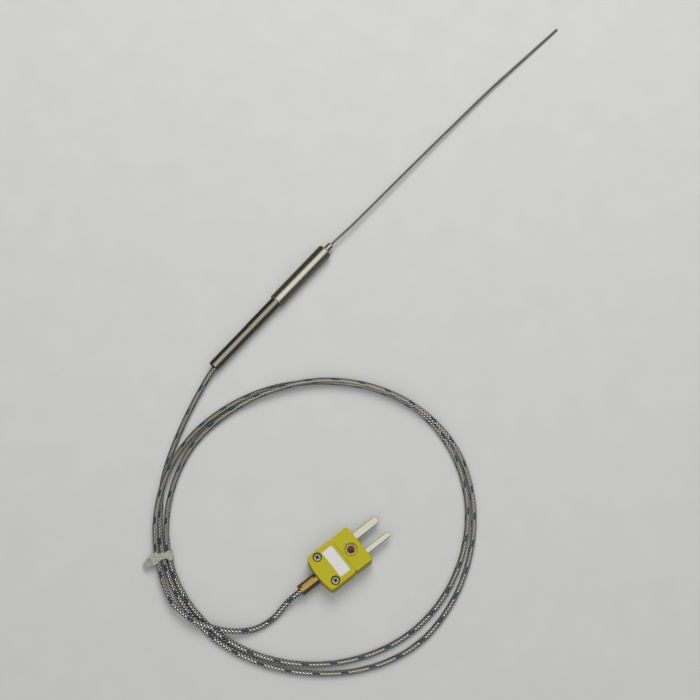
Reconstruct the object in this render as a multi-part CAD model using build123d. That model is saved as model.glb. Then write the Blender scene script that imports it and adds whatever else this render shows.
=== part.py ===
from build123d import *

import os
from math import cos, pi, radians, sin, tan

# A mineral insulated type K thermocouple, as it lies on a bench: a thin metal sheath with
# the hot junction at its tip, a pot seal, a braided flexible lead wound in a loose tied
# coil, and a miniature flat-pin plug.
# +X runs along the pot seal towards the sheath's tip, +Z is up, and the origin is on the
# pot seal's axis at the middle of its length. All sizes are in millimetres.

# ---- sheath, the mineral insulated cable ----
SHEATH_D = 1.0
SHEATH_WALL = 0.16
SHEATH_EXPOSED = 150.0       # from the nose of the pot seal to the tip
SHEATH_INSIDE = 3.0          # tail of sheath past the nose ferrule, inside the pot
TIP_CAP = 0.6                # thickness of the weld that closes the tip
ELEMENT_D = 0.18
ELEMENT_OFFSET = 0.16        # each element wire's distance from the sheath's axis
JUNCTION_D = 0.42
JUNCTION_GAP = 0.35          # powder between the hot junction and the tip weld

# ---- pot seal ----
POT_D = 6.4
POT_LENGTH = 32.0
POT_BORE = 5.2
POT_FRONT_WALL = 2.0
POT_NOSE_ROUND = 0.6
POT_REAR_CHAMFER = 0.2
NOSE_D = 2.6
NOSE_OUT = 3.7               # how far the nose ferrule stands out of the pot
NOSE_FLANGE_D = 3.8
NOSE_FLANGE = 1.0

# ---- crimp tube behind the pot ----
TUBE_D = 5.0
TUBE_WALL = 0.4
TUBE_OUT = 39.7              # visible length behind the pot
TUBE_IN = 10.0               # length held inside the pot
SWAGE_D = 4.8                # rear half, drawn down on the lead
SWAGE_LENGTH = 23.4
SEAL_LENGTH = 7.5
SEAL_RECESS = 1.8            # depth of the open mouth behind the rear seal

# ---- splices inside the pot ----
SPLICE_D = 1.1
SPLICE_LENGTH = 5.0
SPLICE_BACK = 15.5           # rear end of the splices, behind the pot's front
SPLICE_SPREAD = 1.2          # each splice's distance from the axis
POTTING_IN_TUBE = 8.0        # length of potting compound inside the crimp tube

# ---- lead ----
LEAD_D = 2.4
LEAD_IN_TUBE = 9.0           # length of lead inside the crimp tube
CORE_D = 0.5
INSULATION_D = 0.9
INSULATION_SPREAD = 0.5      # each core's distance from the lead's axis

# ---- plug ----
PLUG_WIDTH = 17.2
PLUG_LENGTH = 21.0
PLUG_THICK = 8.0
PLUG_BULGE = 1.2             # how far the curved rear face stands out at its middle
FRONT_BLOCK = 8.4            # length of the block that holds the pins
LID_SPLIT = 4.6              # height of the joint between base and lid
SEAM_GAP = 0.1
PLUG_WALL = 1.5
PLUG_FLOOR = 1.5
LID_ROOF = 1.4
REAR_CORNER = 1.8
FRONT_CORNER = 0.8
EDGE_ROUND = 0.4
SIDE_NICK = 0.6
PIN_PITCH = 7.9
PIN_OUT = 12.6
PIN_THICK = 0.8
PIN_POSITIVE_WIDTH = 2.4
PIN_NEGATIVE_WIDTH = 3.2
TAIL_WIDTH = 3.8
TAIL_LENGTH = 5.4
TAIL_FRONT = 11.6            # front edge of each contact's tail, from the plug's rear corners
LABEL_LENGTH = 12.7
LABEL_WIDTH = 5.1
LABEL_THICK = 0.4
LABEL_AT = 8.65
EYELET_AT = 16.4
EYELET_BORE = 3.3
EYELET_D = 4.0
EYELET_RIM_D = 4.8
EYELET_RIM = 0.4
EYELET_RECESS_D = 5.8
EYELET_RECESS = 0.7

# ---- plug fasteners ----
COVER_SCREW_AT = 3.6
COVER_SCREW_SPREAD = 6.05
COVER_HEAD_D = 3.4
COVER_HEAD = 1.1
COVER_THREAD_D = 2.2
COVER_THREAD = 5.2
HEAD_SUNK = 0.15
BOSS_WALL = 0.9
TERMINAL_AT = 8.4
TERMINAL_HEAD_D = 3.2
TERMINAL_HEAD = 1.1
TERMINAL_THREAD_D = 2.0
TERMINAL_THREAD = 3.0
WASHER_SIDE = 3.6
WASHER_THICK = 0.4
CROSS_WIDTH = 0.6            # arms of the cross recess in every screw head
CROSS_SPAN = 2.0
CROSS_DEPTH = 0.6

# ---- crimp at the plug's cable entry ----
BARREL_D = 3.2
BARREL_FLANGE_D = 4.8
BARREL_FLANGE = 0.8
CRIMP_D = 4.8
CRIMP_FLATS = 4.3
CRIMP_LENGTH = 8.7
CRIMP_HEX = 5.6
CRIMP_COLLAR = 1.5           # end of the crimp sleeve that grips the braid

# ---- tie ----
TIE_WIDTH = 3.2
TIE_THICK = 0.35
TIE_ANGLE = 145.0            # place of the tie, round the coil's centre
TIE_RADIUS = 65.9
TIE_INNER = 8.2              # room inside the wrap for three strands
TIE_TAIL = 5.5
TIE_TAIL_WIDTH = 1.6
TIE_TAIL_LIFT = 0.4          # how far the tail hangs clear of the bench
TIE_TAIL_THICK = 1.2
TIE_GAP = 0.2                # gap each side of the wrap, where the strands lift over it

# ---- fits ----
RUN_FIT = 0.05               # radial clearance of screws that turn
SLIP_FIT = 0.05              # radial clearance of parts that slip together
HEAD_FIT = 0.3               # radial gap round a cover screw's head

# ---- places ----
TABLE_Z = -POT_D / 2
POT_FRONT = POT_LENGTH / 2
POT_REAR = -POT_LENGTH / 2
WALL_INSIDE = POT_FRONT - POT_FRONT_WALL
TUBE_FRONT = POT_REAR + TUBE_IN
TUBE_REAR = POT_REAR - TUBE_OUT
SPLICE_REAR = POT_FRONT - SPLICE_BACK
SPLICE_FRONT = SPLICE_REAR + SPLICE_LENGTH
NOSE_TIP = POT_FRONT + NOSE_OUT
TIP_X = NOSE_TIP + SHEATH_EXPOSED
TIP_Y = -5.8
PLUG_X = -92.7
PLUG_Y = -94.5
PLUG_TURN = -10.0
COIL_X = -75.6
COIL_Y = -78.0
LEAD_REST = TABLE_Z + LEAD_D / 2
LAYER = LEAD_D

# The coil's turns as they were laid: the strand's distance from the coil's centre at every
# COIL_STEP degrees, anticlockwise from COIL_START. It fans out at the far side, and it is
# together at the tie.
COIL_START = 120.0
COIL_STEP = 20.0
COIL_RADII = [
    66.1, 65.5, 65.4, 64.4, 63.1, 62.7, 64.2, 65.8, 64.8, 64.6, 65.4, 66.3,
    64.2, 62.1, 60.5, 59.2, 60.0, 62.1,
    62.5, 63.2, 63.1, 62.0, 60.3, 59.3, 59.2, 60.2, 60.8, 61.6, 63.0, 63.9,
    64.1, 61.9, 60.2, 60.9, 62.5, 65.0,
    66.5, 67.8, 68.4,
]
# Where the strand rides over a lower one: first and last angle of each long low hump.
HUMPS = [(360.0, 425.0), (830.0, 848.0), (884.0, 905.0)]
HUMP_RAMP = 22.0
RAISED = [(360.0, 420.0), (820.0, 860.0)]    # stations of the coil's two-layer stretches


def smooth_path(points, share=0.45):
    """Straight runs joined by the largest tangent arcs that share the runs."""
    vectors = [Vector(*p) for p in points]
    radii = []
    for a, b, c in zip(vectors, vectors[1:], vectors[2:]):
        half_turn = radians((b - a).get_angle(c - b)) / 2
        radii.append(share * min((b - a).length, (c - b).length) / tan(half_turn))
    return FilletPolyline(*vectors, radius=radii), radii


def start_plane(path):
    """Plane across the start of a path, with its x axis level."""
    along = path % 0
    return Plane(origin=path @ 0, x_dir=(-along.Y, along.X, 0), z_dir=along)


def bent_rod(points, diameter, bore=0.0, share=0.45):
    """Round bar or tube along a smooth path."""
    path, _ = smooth_path(points, share)
    section = Circle(diameter / 2)
    if bore:
        section -= Circle(bore / 2)
    return sweep(start_plane(path) * section, path=path)


def rod(x0, x1, diameter):
    """Round bar along X on the pot's axis."""
    return Plane.YZ * Pos(0, 0, (x0 + x1) / 2) * Cylinder(diameter / 2, abs(x1 - x0))


def block(x0, x1, y0, y1, z0, z1):
    """Box between two corners."""
    return Pos((x0 + x1) / 2, (y0 + y1) / 2, (z0 + z1) / 2) * Box(x1 - x0, y1 - y0, z1 - z0)


def post(x, y, z0, z1, diameter):
    """Round bar along Z."""
    return Pos(x, y, (z0 + z1) / 2) * Cylinder(diameter / 2, z1 - z0)


# ---- sheath -------------------------------------------------------------------------

SHEATH_START = WALL_INSIDE - NOSE_FLANGE - SHEATH_INSIDE
TIP_Z = TABLE_Z + SHEATH_D / 2
SHEATH_ARCS = 0.2            # share of each run that a bend takes, so the runs stay straight
# A new sheath is nearly straight: it leaves the nose a little to one side, and its own
# weight lays the tip on the bench.
SHEATH_BENDS = [(0.09, -0.9, 0.02), (0.36, -1.6, 0.22), (0.70, -2.8, 0.62)]


def sheath_points(end_share=1.0):
    """Route of the sheath's centre line, up to a share of its exposed length."""
    points = [(SHEATH_START, 0.0, 0.0), (NOSE_TIP + 1.0, -0.1, 0.0)]
    for share, y, drop in SHEATH_BENDS:
        points.append((NOSE_TIP + share * SHEATH_EXPOSED, y, drop * TIP_Z))
    last = Vector(*points[-1])
    tip = Vector(TIP_X, TIP_Y, TIP_Z)
    end = last + (tip - last) * end_share
    return points + [(end.X, end.Y, end.Z)]


def last_run():
    """Length of the sheath's last straight run."""
    points = sheath_points()
    return (Vector(*points[-1]) - Vector(*points[-2])).length


def share_before_tip(distance):
    """Share of the last run that ends a distance short of the tip."""
    return 1.0 - distance / last_run()


def sheath_tube():
    """Thin metal tube, open behind and closed by the tip weld."""
    bore = SHEATH_D - 2 * SHEATH_WALL
    return bent_rod(sheath_points(share_before_tip(TIP_CAP)), SHEATH_D, bore, SHEATH_ARCS)


def sheath_tip():
    """Rounded weld that closes the tube."""
    path, _ = smooth_path(sheath_points(), SHEATH_ARCS)
    along = path % 1
    base = path @ 1 - along * TIP_CAP
    cap = Plane(origin=base, z_dir=along) * Pos(0, 0, TIP_CAP / 2) * Cylinder(SHEATH_D / 2, TIP_CAP)
    return fillet(cap.edges().sort_by_distance(path @ 1)[0], SHEATH_D * 0.35)


def element_wires():
    """Two element wires, each in one length from its splice to the hot junction."""
    end = share_before_tip(TIP_CAP + JUNCTION_GAP + JUNCTION_D / 2)
    splice_middle = (SPLICE_REAR + SPLICE_FRONT) / 2
    wires = []
    for side in (1, -1):
        fan = [
            (splice_middle, side * SPLICE_SPREAD, 0.0),
            (SPLICE_FRONT + 0.5, side * SPLICE_SPREAD, 0.0),
            (SHEATH_START - 0.5, side * ELEMENT_OFFSET, 0.0),
        ]
        inside = [(x, y + side * ELEMENT_OFFSET, z) for x, y, z in sheath_points(end)[1:]]
        wires.append(bent_rod(fan + inside, ELEMENT_D, share=SHEATH_ARCS))
    return wires


def junction_bead(wires):
    """Hot junction, where the two element wires are welded together."""
    path, _ = smooth_path(sheath_points(), SHEATH_ARCS)
    centre = path @ 1 - (path % 1) * (TIP_CAP + JUNCTION_GAP + JUNCTION_D / 2)
    return Pos(*centre) * Sphere(JUNCTION_D / 2) - wires[0] - wires[1]


def powder_core(wires, bead):
    """Pressed powder that fills the sheath round the wires and the junction."""
    bore = SHEATH_D - 2 * SHEATH_WALL
    core = bent_rod(sheath_points(share_before_tip(TIP_CAP)), bore, share=SHEATH_ARCS)
    return core - wires[0] - wires[1] - bead


# ---- pot seal -----------------------------------------------------------------------

def nose_ferrule():
    """Flanged bush brazed on the sheath, seated in the pot's front wall."""
    body = rod(WALL_INSIDE, NOSE_TIP, NOSE_D)
    body = chamfer(body.edges().filter_by(GeomType.CIRCLE).sort_by(Axis.X)[-1], 0.25)
    body += rod(WALL_INSIDE - NOSE_FLANGE, WALL_INSIDE, NOSE_FLANGE_D)
    return body - bent_rod(sheath_points(), SHEATH_D + 2 * SLIP_FIT, share=SHEATH_ARCS)


def pot_sleeve():
    """Closed front, round bore behind, with a rounded nose edge."""
    body = rod(POT_REAR, POT_FRONT, POT_D)
    rims = body.edges().filter_by(GeomType.CIRCLE).sort_by(Axis.X)
    body = fillet(rims[-1], POT_NOSE_ROUND)
    body = chamfer(body.edges().filter_by(GeomType.CIRCLE).sort_by(Axis.X)[0], POT_REAR_CHAMFER)
    body -= rod(POT_REAR - 1, WALL_INSIDE, POT_BORE)
    return body - rod(WALL_INSIDE - 1, POT_FRONT + 1, NOSE_D + 2 * SLIP_FIT)


def crimp_tube():
    """Thin tube held in the pot's bore, drawn down on its rear half."""
    step = TUBE_REAR + SWAGE_LENGTH
    body = rod(step, TUBE_FRONT, TUBE_D) + rod(TUBE_REAR, step, SWAGE_D)
    rings = [e for e in body.edges().filter_by(GeomType.CIRCLE) if abs(e.center().X - step) < 0.01]
    body = chamfer(max(rings, key=lambda e: e.length), (TUBE_D - SWAGE_D) / 2 * 0.8)
    body -= rod(step, TUBE_FRONT + 1, TUBE_D - 2 * TUBE_WALL)
    body -= rod(TUBE_REAR - 1, step, SWAGE_D - 2 * TUBE_WALL)
    return chamfer(body.edges().filter_by(GeomType.CIRCLE).sort_by(Axis.X)[0:2], 0.1)


def rear_seal():
    """Fibre packing between the lead and the crimp tube, set back from the mouth."""
    x0 = TUBE_REAR + SEAL_RECESS
    packing = rod(x0, x0 + SEAL_LENGTH, SWAGE_D - 2 * TUBE_WALL)
    return packing - rod(x0 - 1, x0 + SEAL_LENGTH + 1, LEAD_D)


def splice(side):
    """Small crimp ferrule that joins an element wire to its lead core."""
    middle = (SPLICE_REAR + SPLICE_FRONT) / 2
    body = rod(SPLICE_REAR, SPLICE_FRONT, SPLICE_D)
    for share in (0.3, 0.7):
        x = SPLICE_REAR + share * SPLICE_LENGTH
        body -= rod(x - 0.4, x + 0.4, SPLICE_D + 1) - rod(x - 0.4, x + 0.4, SPLICE_D - 0.2)
    body -= rod(SPLICE_REAR - 1, middle, CORE_D)
    body -= rod(middle, SPLICE_FRONT + 1, ELEMENT_D)
    return Pos(0, side * SPLICE_SPREAD, 0) * body


def pot_core_points(side):
    """Route of a lead core from the lead's end in the crimp tube to its splice."""
    y0 = side * INSULATION_SPREAD
    y1 = side * SPLICE_SPREAD
    return [
        (TUBE_REAR + LEAD_IN_TUBE, y0, 0.0),
        (SPLICE_REAR - 8.0, y0, 0.0),
        (SPLICE_REAR - 3.0, y1, 0.0),
        ((SPLICE_REAR + SPLICE_FRONT) / 2, y1, 0.0),
    ]


def pot_core(side):
    """Bare lead core, with its stripped end in the splice."""
    return bent_rod(pot_core_points(side), CORE_D)


def pot_sleeving(side):
    """Glass sleeving on a lead core, stopping short of the splice."""
    sleeve = bent_rod(pot_core_points(side), INSULATION_D, bore=CORE_D)
    return sleeve - rod(SPLICE_REAR - 1.0, POT_FRONT, POT_D)


def potting(solids):
    """Cured compound that fills the pot and the front of the crimp tube."""
    body = rod(TUBE_FRONT, WALL_INSIDE, POT_BORE)
    body += rod(TUBE_FRONT - POTTING_IN_TUBE, TUBE_FRONT, TUBE_D - 2 * TUBE_WALL)
    body -= rod(WALL_INSIDE - NOSE_FLANGE, POT_FRONT, NOSE_FLANGE_D)
    body -= bent_rod(sheath_points(), SHEATH_D, share=SHEATH_ARCS)
    for solid in solids:
        body -= solid
    return body


# ---- lead ---------------------------------------------------------------------------

def hump_height(angle):
    """Height of the strand over the bench at an angle, in whole or part layers."""
    height = 0.0
    for first, last in HUMPS:
        outside = max(first - angle, angle - last, 0.0)
        if outside < HUMP_RAMP:
            height = max(height, 0.5 + 0.5 * cos(pi * outside / HUMP_RAMP))
    return height * LAYER


def coil_strand():
    """Centre of the strand at each station: its angle, its radius and its height."""
    stations = []
    for i, radius in enumerate(COIL_RADII):
        angle = COIL_START + i * COIL_STEP
        stations.append((angle, radius, hump_height(angle)))
    return stations


def outline_radius(pick, angle, edge):
    """Outer or inner edge of all the strands that pass an angle."""
    passing = [r for a, r, _ in coil_strand() if (a - angle) % 360.0 < 0.01]
    return pick(passing) + edge


def coil_point(radius, angle, z=0.0):
    """Point at a radius and an angle about the coil's centre."""
    return (COIL_X + radius * cos(radians(angle)), COIL_Y + radius * sin(radians(angle)), z)


def coil_sector(first, last):
    """Raised stretch of the coil, where one strand lies on another."""
    stations = [s for s in coil_strand() if first - 1 < s[0] < last + 1]
    outer = [coil_point(r + LEAD_D / 2, a) for a, r, _ in stations]
    inner = [coil_point(r - LEAD_D / 2, a) for a, r, _ in reversed(stations)]
    edges = [Spline(*outer), Line(outer[-1], inner[0]), Spline(*inner), Line(inner[-1], outer[0])]
    face = make_face(edges)
    return extrude(Pos(0, 0, TABLE_Z + LEAD_D / 2) * face, LEAD_D / 2 + LAYER)


def lead_coil():
    """Outer shape of the tied coil: a flat ring, with raised stretches at the crossings."""
    angles = [i * COIL_STEP for i in range(round(360.0 / COIL_STEP))]
    outer = [coil_point(outline_radius(max, a, LEAD_D / 2), a) for a in angles]
    inner = [coil_point(outline_radius(min, a, -LEAD_D / 2), a) for a in angles]
    ring = make_face(Spline(*outer, periodic=True)) - make_face(Spline(*inner, periodic=True))
    solid = extrude(Pos(0, 0, TABLE_Z) * ring, LEAD_D)
    for first, last in RAISED:
        solid += coil_sector(first, last)
    notch = Box(2 * TIE_INNER, TIE_WIDTH + 2 * TIE_GAP, TIE_THICK,
                align=(Align.CENTER, Align.CENTER, Align.MIN))
    return solid - tie_place() * notch


def tie_place():
    """Place of the tie: across the strands, with x outwards and y along the lead."""
    return Location(coil_point(TIE_RADIUS, TIE_ANGLE, TABLE_Z), (0, 0, TIE_ANGLE))


def coil_tie():
    """Twisted strip wrapped once round the strands, with its free tail outwards."""
    wrap = Box(TIE_INNER + 2 * TIE_THICK, TIE_WIDTH, LEAD_D + TIE_THICK,
               align=(Align.CENTER, Align.CENTER, Align.MIN))
    wrap = fillet(wrap.edges().filter_by(Axis.Y), TIE_THICK)
    wrap -= Pos(0, 0, TIE_THICK) * Box(TIE_INNER, TIE_WIDTH + 1, LEAD_D - TIE_THICK,
                                     align=(Align.CENTER, Align.CENTER, Align.MIN))
    reach = TIE_INNER / 2 + TIE_THICK
    tail = block(reach - TIE_THICK / 2, reach + TIE_TAIL, -TIE_TAIL_WIDTH / 2, TIE_TAIL_WIDTH / 2,
                 TIE_TAIL_LIFT, TIE_TAIL_LIFT + TIE_TAIL_THICK)
    return tie_place() * (wrap + tail)


def coil_end(index):
    """First or last station of the coil's strand, as a point."""
    angle, radius, height = coil_strand()[index]
    return coil_point(radius, angle, LEAD_REST + height)


POT_TAIL = [
    (TUBE_REAR + LEAD_IN_TUBE, 0.0, 0.0),
    (TUBE_REAR - 3.3, 0.0, 0.0),
    (-68.5, -2.9, -1.3),
    (-79.4, -6.0, LEAD_REST),
    (-91.2, -10.6, LEAD_REST),
    (-100.6, -15.6, LEAD_REST),
    coil_end(0),
]
PLUG_TAIL = [
    coil_end(-1),
    (-141.3, -62.6, LEAD_REST + LAYER),
    (-140.4, -69.4, LEAD_REST + LAYER),
    (-137.6, -75.6, LEAD_REST + LAYER),
    (-134.4, -81.4, LEAD_REST + 2.0),
    (-130.0, -86.4, LEAD_REST + 1.0),
    (-124.6, -90.1, LEAD_REST + 0.1),
    (-117.6, -92.0, LEAD_REST),
    (-110.8, -91.7, LEAD_REST + 1.4),
    (-105.0, -92.3, TABLE_Z + PLUG_THICK / 2),
]


def plug_point(u, v, w):
    """Row position of a point given along, across and up from the plug's rear corners."""
    turn = radians(PLUG_TURN)
    x = PLUG_X + u * cos(turn) - v * sin(turn)
    y = PLUG_Y + u * sin(turn) + v * cos(turn)
    return (x, y, TABLE_Z + w)


def lead_tails():
    """Free stretches of the lead: out of the crimp tube, and from the coil to the plug."""
    inside_plug = plug_point(BARREL_FRONT - 1.0, 0, PLUG_THICK / 2)
    routes = {"lead_pot_side": POT_TAIL, "lead_plug_side": PLUG_TAIL + [inside_plug]}
    tails = {}
    for name, points in routes.items():
        path, radii = smooth_path(points)
        tails[name] = sweep(start_plane(path) * Circle(LEAD_D / 2), path=path)
        expected = pi / 4 * LEAD_D**2 * path.length
        print(name, "length", round(path.length, 1), "radii", [round(r, 1) for r in radii])
        print(name, "volume", round(tails[name].volume, 1), "section x length", round(expected, 1))
    return tails


# ---- plug ---------------------------------------------------------------------------

MID = PLUG_THICK / 2
CAVITY_GAP = 0.6             # wall left between the terminals' room and the front block
FLANGE_GAP = 0.3
WELD = 0.1                   # overlap that joins a boss or a ledge to the floor
SEAM_U = PLUG_LENGTH - FRONT_BLOCK
BARREL_FRONT = PLUG_WALL + BARREL_FLANGE + FLANGE_GAP
HALF = PLUG_WIDTH / 2
PIN_SIDES = {"positive": -1, "negative": 1}
PIN_WIDTHS = {"positive": PIN_POSITIVE_WIDTH, "negative": PIN_NEGATIVE_WIDTH}


def on_plug(shape):
    """Puts a shape made in the plug's own frame where the plug lies."""
    return Location((PLUG_X, PLUG_Y, TABLE_Z), (0, 0, PLUG_TURN)) * shape


def plug_outline():
    """Plan of the plug, with a curved rear edge and rounded corners."""
    sides = Polyline((0, HALF), (PLUG_LENGTH, HALF), (PLUG_LENGTH, -HALF), (0, -HALF))
    rear = ThreePointArc((0, -HALF), (-PLUG_BULGE, 0), (0, HALF))
    face = make_face([sides, rear])
    corners = face.vertices().sort_by(Axis.X)
    face = fillet(corners[-2:], FRONT_CORNER)
    return fillet(face.vertices().sort_by(Axis.X)[0:2], REAR_CORNER)


def plug_shell():
    """Whole outer body of the plug, before it is split into base and lid."""
    body = extrude(plug_outline(), PLUG_THICK)
    body = fillet(body.faces().sort_by(Axis.Z)[-1].edges(), EDGE_ROUND)
    body = chamfer(body.faces().sort_by(Axis.Z)[0].edges(), EDGE_ROUND / 2)
    for side in (1, -1):
        nick = post(SEAM_U, side * HALF, -1, PLUG_THICK + 1, 2 * SIDE_NICK)
        body -= nick
    return body


def cavity(z0, z1):
    """Room for the terminals behind the front block, clear of the walls."""
    return block(PLUG_WALL, SEAM_U - CAVITY_GAP, -HALF + PLUG_WALL, HALF - PLUG_WALL, z0, z1)


def cable_entry():
    """Hole in the rear wall for the crimp barrel, and the pocket for its flange."""
    axis = Plane.YZ
    hole = axis * Pos(0, MID, 0) * Cylinder(BARREL_D / 2 + SLIP_FIT, 2 * (PLUG_WALL + PLUG_BULGE) + 2)
    flange = axis * Pos(0, MID, PLUG_WALL + BARREL_FLANGE / 2) * Cylinder(
        BARREL_FLANGE_D / 2 + 2 * SLIP_FIT, BARREL_FLANGE + 2 * SLIP_FIT)
    return hole + flange


def plug_base():
    """Lower half of the plug with the full-height front block, slots and bosses."""
    upper = block(-5, SEAM_U, -HALF - 1, HALF + 1, LID_SPLIT, PLUG_THICK + 1)
    body = plug_shell() - upper - cavity(PLUG_FLOOR, LID_SPLIT + 1)
    for side in (1, -1):
        y = side * COVER_SCREW_SPREAD
        body += post(COVER_SCREW_AT, y, PLUG_FLOOR - WELD, LID_SPLIT, COVER_THREAD_D + 2 * BOSS_WALL)
        body -= post(COVER_SCREW_AT, y, PLUG_FLOOR - 0.5, LID_SPLIT + 1, COVER_THREAD_D + 2 * RUN_FIT)
    for name, side in PIN_SIDES.items():
        y = side * PIN_PITCH / 2
        half_tail = TAIL_WIDTH / 2
        ledge = block(TAIL_FRONT - TAIL_LENGTH, SEAM_U, y - half_tail, y + half_tail,
                      PLUG_FLOOR - WELD, MID - PIN_THICK / 2)
        body += ledge
        body -= post(TERMINAL_AT, y, PLUG_FLOOR - 0.3, MID, TERMINAL_THREAD_D + 6 * RUN_FIT)
        half_slot = PIN_WIDTHS[name] / 2 + SLIP_FIT
        body -= block(TAIL_FRONT - 1, PLUG_LENGTH + 1, y - half_slot, y + half_slot,
                      MID - PIN_THICK / 2, MID + PIN_THICK / 2 + SLIP_FIT)
    body -= post(EYELET_AT, 0, -1, PLUG_THICK + 1, EYELET_D + 2 * SLIP_FIT)
    body -= post(EYELET_AT, 0, PLUG_THICK - EYELET_RECESS, PLUG_THICK + 1, EYELET_RECESS_D)
    body -= post(EYELET_AT, 0, -1, EYELET_RECESS, EYELET_RECESS_D)
    return body - cable_entry()


def plug_lid():
    """Rear cover with the label recess, screw holes and inner bosses."""
    keep = block(-5, SEAM_U - SEAM_GAP, -HALF - 1, HALF + 1, LID_SPLIT + SEAM_GAP, PLUG_THICK + 1)
    body = plug_shell() & keep
    body -= cavity(LID_SPLIT, PLUG_THICK - LID_ROOF)
    for side in (1, -1):
        y = side * COVER_SCREW_SPREAD
        top = PLUG_THICK - HEAD_SUNK - COVER_HEAD
        body += post(COVER_SCREW_AT, y, LID_SPLIT + SEAM_GAP, top, COVER_HEAD_D + 2 * HEAD_FIT)
    body = body & plug_shell()
    for side in (1, -1):
        y = side * COVER_SCREW_SPREAD
        top = PLUG_THICK - HEAD_SUNK - COVER_HEAD
        body -= post(COVER_SCREW_AT, y, top, PLUG_THICK + 1, COVER_HEAD_D + 2 * HEAD_FIT)
        body -= post(COVER_SCREW_AT, y, 0, PLUG_THICK, COVER_THREAD_D + 2 * RUN_FIT)
    body -= label_block(LABEL_THICK, SLIP_FIT)
    return body - cable_entry()


def label_block(depth, gap):
    """Flat panel let into the lid's top."""
    half_u = LABEL_WIDTH / 2 + gap
    half_v = LABEL_LENGTH / 2 + gap
    return block(LABEL_AT - half_u, LABEL_AT + half_u, -half_v, half_v,
                 PLUG_THICK - depth, PLUG_THICK + (1 if gap else 0))


def label_insert():
    """Plain white writing panel."""
    return fillet(label_block(LABEL_THICK, 0.0).edges().filter_by(Axis.Z), 0.3)


def eyelet():
    """Brass tube through the front block with a rolled rim at each face."""
    top = PLUG_THICK - EYELET_RECESS
    body = post(EYELET_AT, 0, EYELET_RECESS, top, EYELET_D)
    for z in (EYELET_RECESS - EYELET_RIM, top):
        rim = post(EYELET_AT, 0, z, z + EYELET_RIM, EYELET_RIM_D)
        body += fillet(rim.edges().filter_by(GeomType.CIRCLE), EYELET_RIM * 0.45)
    return body - post(EYELET_AT, 0, -1, PLUG_THICK + 1, EYELET_BORE)


def cross_screw(x, y, seat, head_d, head, thread_d, thread):
    """Pan-head screw with a cross recess, seated at a height."""
    body = fillet(post(x, y, seat, seat + head, head_d).edges().group_by(Axis.Z)[-1], head * 0.45)
    body += post(x, y, seat - thread, seat, thread_d)
    body = chamfer(body.edges().group_by(Axis.Z)[0], thread_d * 0.15)
    for turn in (0, 90):
        arm = Box(CROSS_SPAN, CROSS_WIDTH, 2 * CROSS_DEPTH)
        body -= Location((x, y, seat + head), (0, 0, turn + 30)) * arm
    return body


def cover_screw(side):
    """Screw that holds the lid down."""
    seat = PLUG_THICK - HEAD_SUNK - COVER_HEAD
    return cross_screw(COVER_SCREW_AT, side * COVER_SCREW_SPREAD, seat,
                       COVER_HEAD_D, COVER_HEAD, COVER_THREAD_D, COVER_THREAD)


WIRE_UNDER = MID + PIN_THICK / 2
WASHER_Z = WIRE_UNDER + CORE_D


def contact_blade(name):
    """Flat pin with a wider tail that takes the terminal screw."""
    y = PIN_SIDES[name] * PIN_PITCH / 2
    width = PIN_WIDTHS[name]
    tip = PLUG_LENGTH + PIN_OUT
    pin = block(TAIL_FRONT - 0.5, tip, y - width / 2, y + width / 2,
                MID - PIN_THICK / 2, MID + PIN_THICK / 2)
    ends = pin.edges().filter_by(Axis.Z).sort_by(Axis.X)[-2:]
    pin = fillet(ends, width * 0.32)
    pin = chamfer(pin.edges().filter_by(Axis.Y).sort_by(Axis.X)[-2:], 0.2)
    tail = block(TAIL_FRONT - TAIL_LENGTH, TAIL_FRONT, y - TAIL_WIDTH / 2, y + TAIL_WIDTH / 2,
                 MID - PIN_THICK / 2, MID + PIN_THICK / 2)
    body = pin + tail
    return body - post(TERMINAL_AT, y, 0, PLUG_THICK, TERMINAL_THREAD_D + 2 * RUN_FIT)


def clamp_washer(name):
    """Square washer that presses the bare core on the contact's tail."""
    y = PIN_SIDES[name] * PIN_PITCH / 2
    half = WASHER_SIDE / 2
    body = block(TERMINAL_AT - half, TERMINAL_AT + half, y - half, y + half, WASHER_Z, WASHER_Z + WASHER_THICK)
    body = fillet(body.edges().filter_by(Axis.Z), 0.4)
    return body - post(TERMINAL_AT, y, 0, PLUG_THICK, TERMINAL_THREAD_D + 2 * RUN_FIT)


def terminal_screw(name):
    """Screw through the washer into the contact's tail."""
    y = PIN_SIDES[name] * PIN_PITCH / 2
    return cross_screw(TERMINAL_AT, y, WASHER_Z + WASHER_THICK,
                       TERMINAL_HEAD_D, TERMINAL_HEAD, TERMINAL_THREAD_D, TERMINAL_THREAD)


def plug_core_points(name):
    """Route of a lead core from the crimp barrel to its terminal."""
    side = PIN_SIDES[name]
    clamp_y = side * (PIN_PITCH / 2 - TERMINAL_THREAD_D / 2 - CORE_D / 2 - 2 * RUN_FIT)
    return [
        (BARREL_FRONT - 1.0, side * INSULATION_SPREAD, MID),
        (BARREL_FRONT + 0.6, side * INSULATION_SPREAD, MID),
        (TAIL_FRONT - TAIL_LENGTH - 1.0, clamp_y, WIRE_UNDER + CORE_D / 2),
        (TERMINAL_AT + 1.5, clamp_y, WIRE_UNDER + CORE_D / 2),
    ]


def plug_core(name):
    """Bare core that runs from the lead to its terminal."""
    return bent_rod(plug_core_points(name), CORE_D)


def plug_sleeving(name):
    """Glass sleeving on the core between the barrel and the terminal."""
    sleeve = bent_rod(plug_core_points(name), INSULATION_D, bore=CORE_D)
    end = TAIL_FRONT - TAIL_LENGTH - 1.6
    return sleeve - block(end, SEAM_U, -HALF, HALF, 0, PLUG_THICK)


def along_plug(u0, u1, diameter):
    """Round bar along the plug's cable axis."""
    return Pos(0, 0, MID) * rod(u0, u1, diameter)


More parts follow.
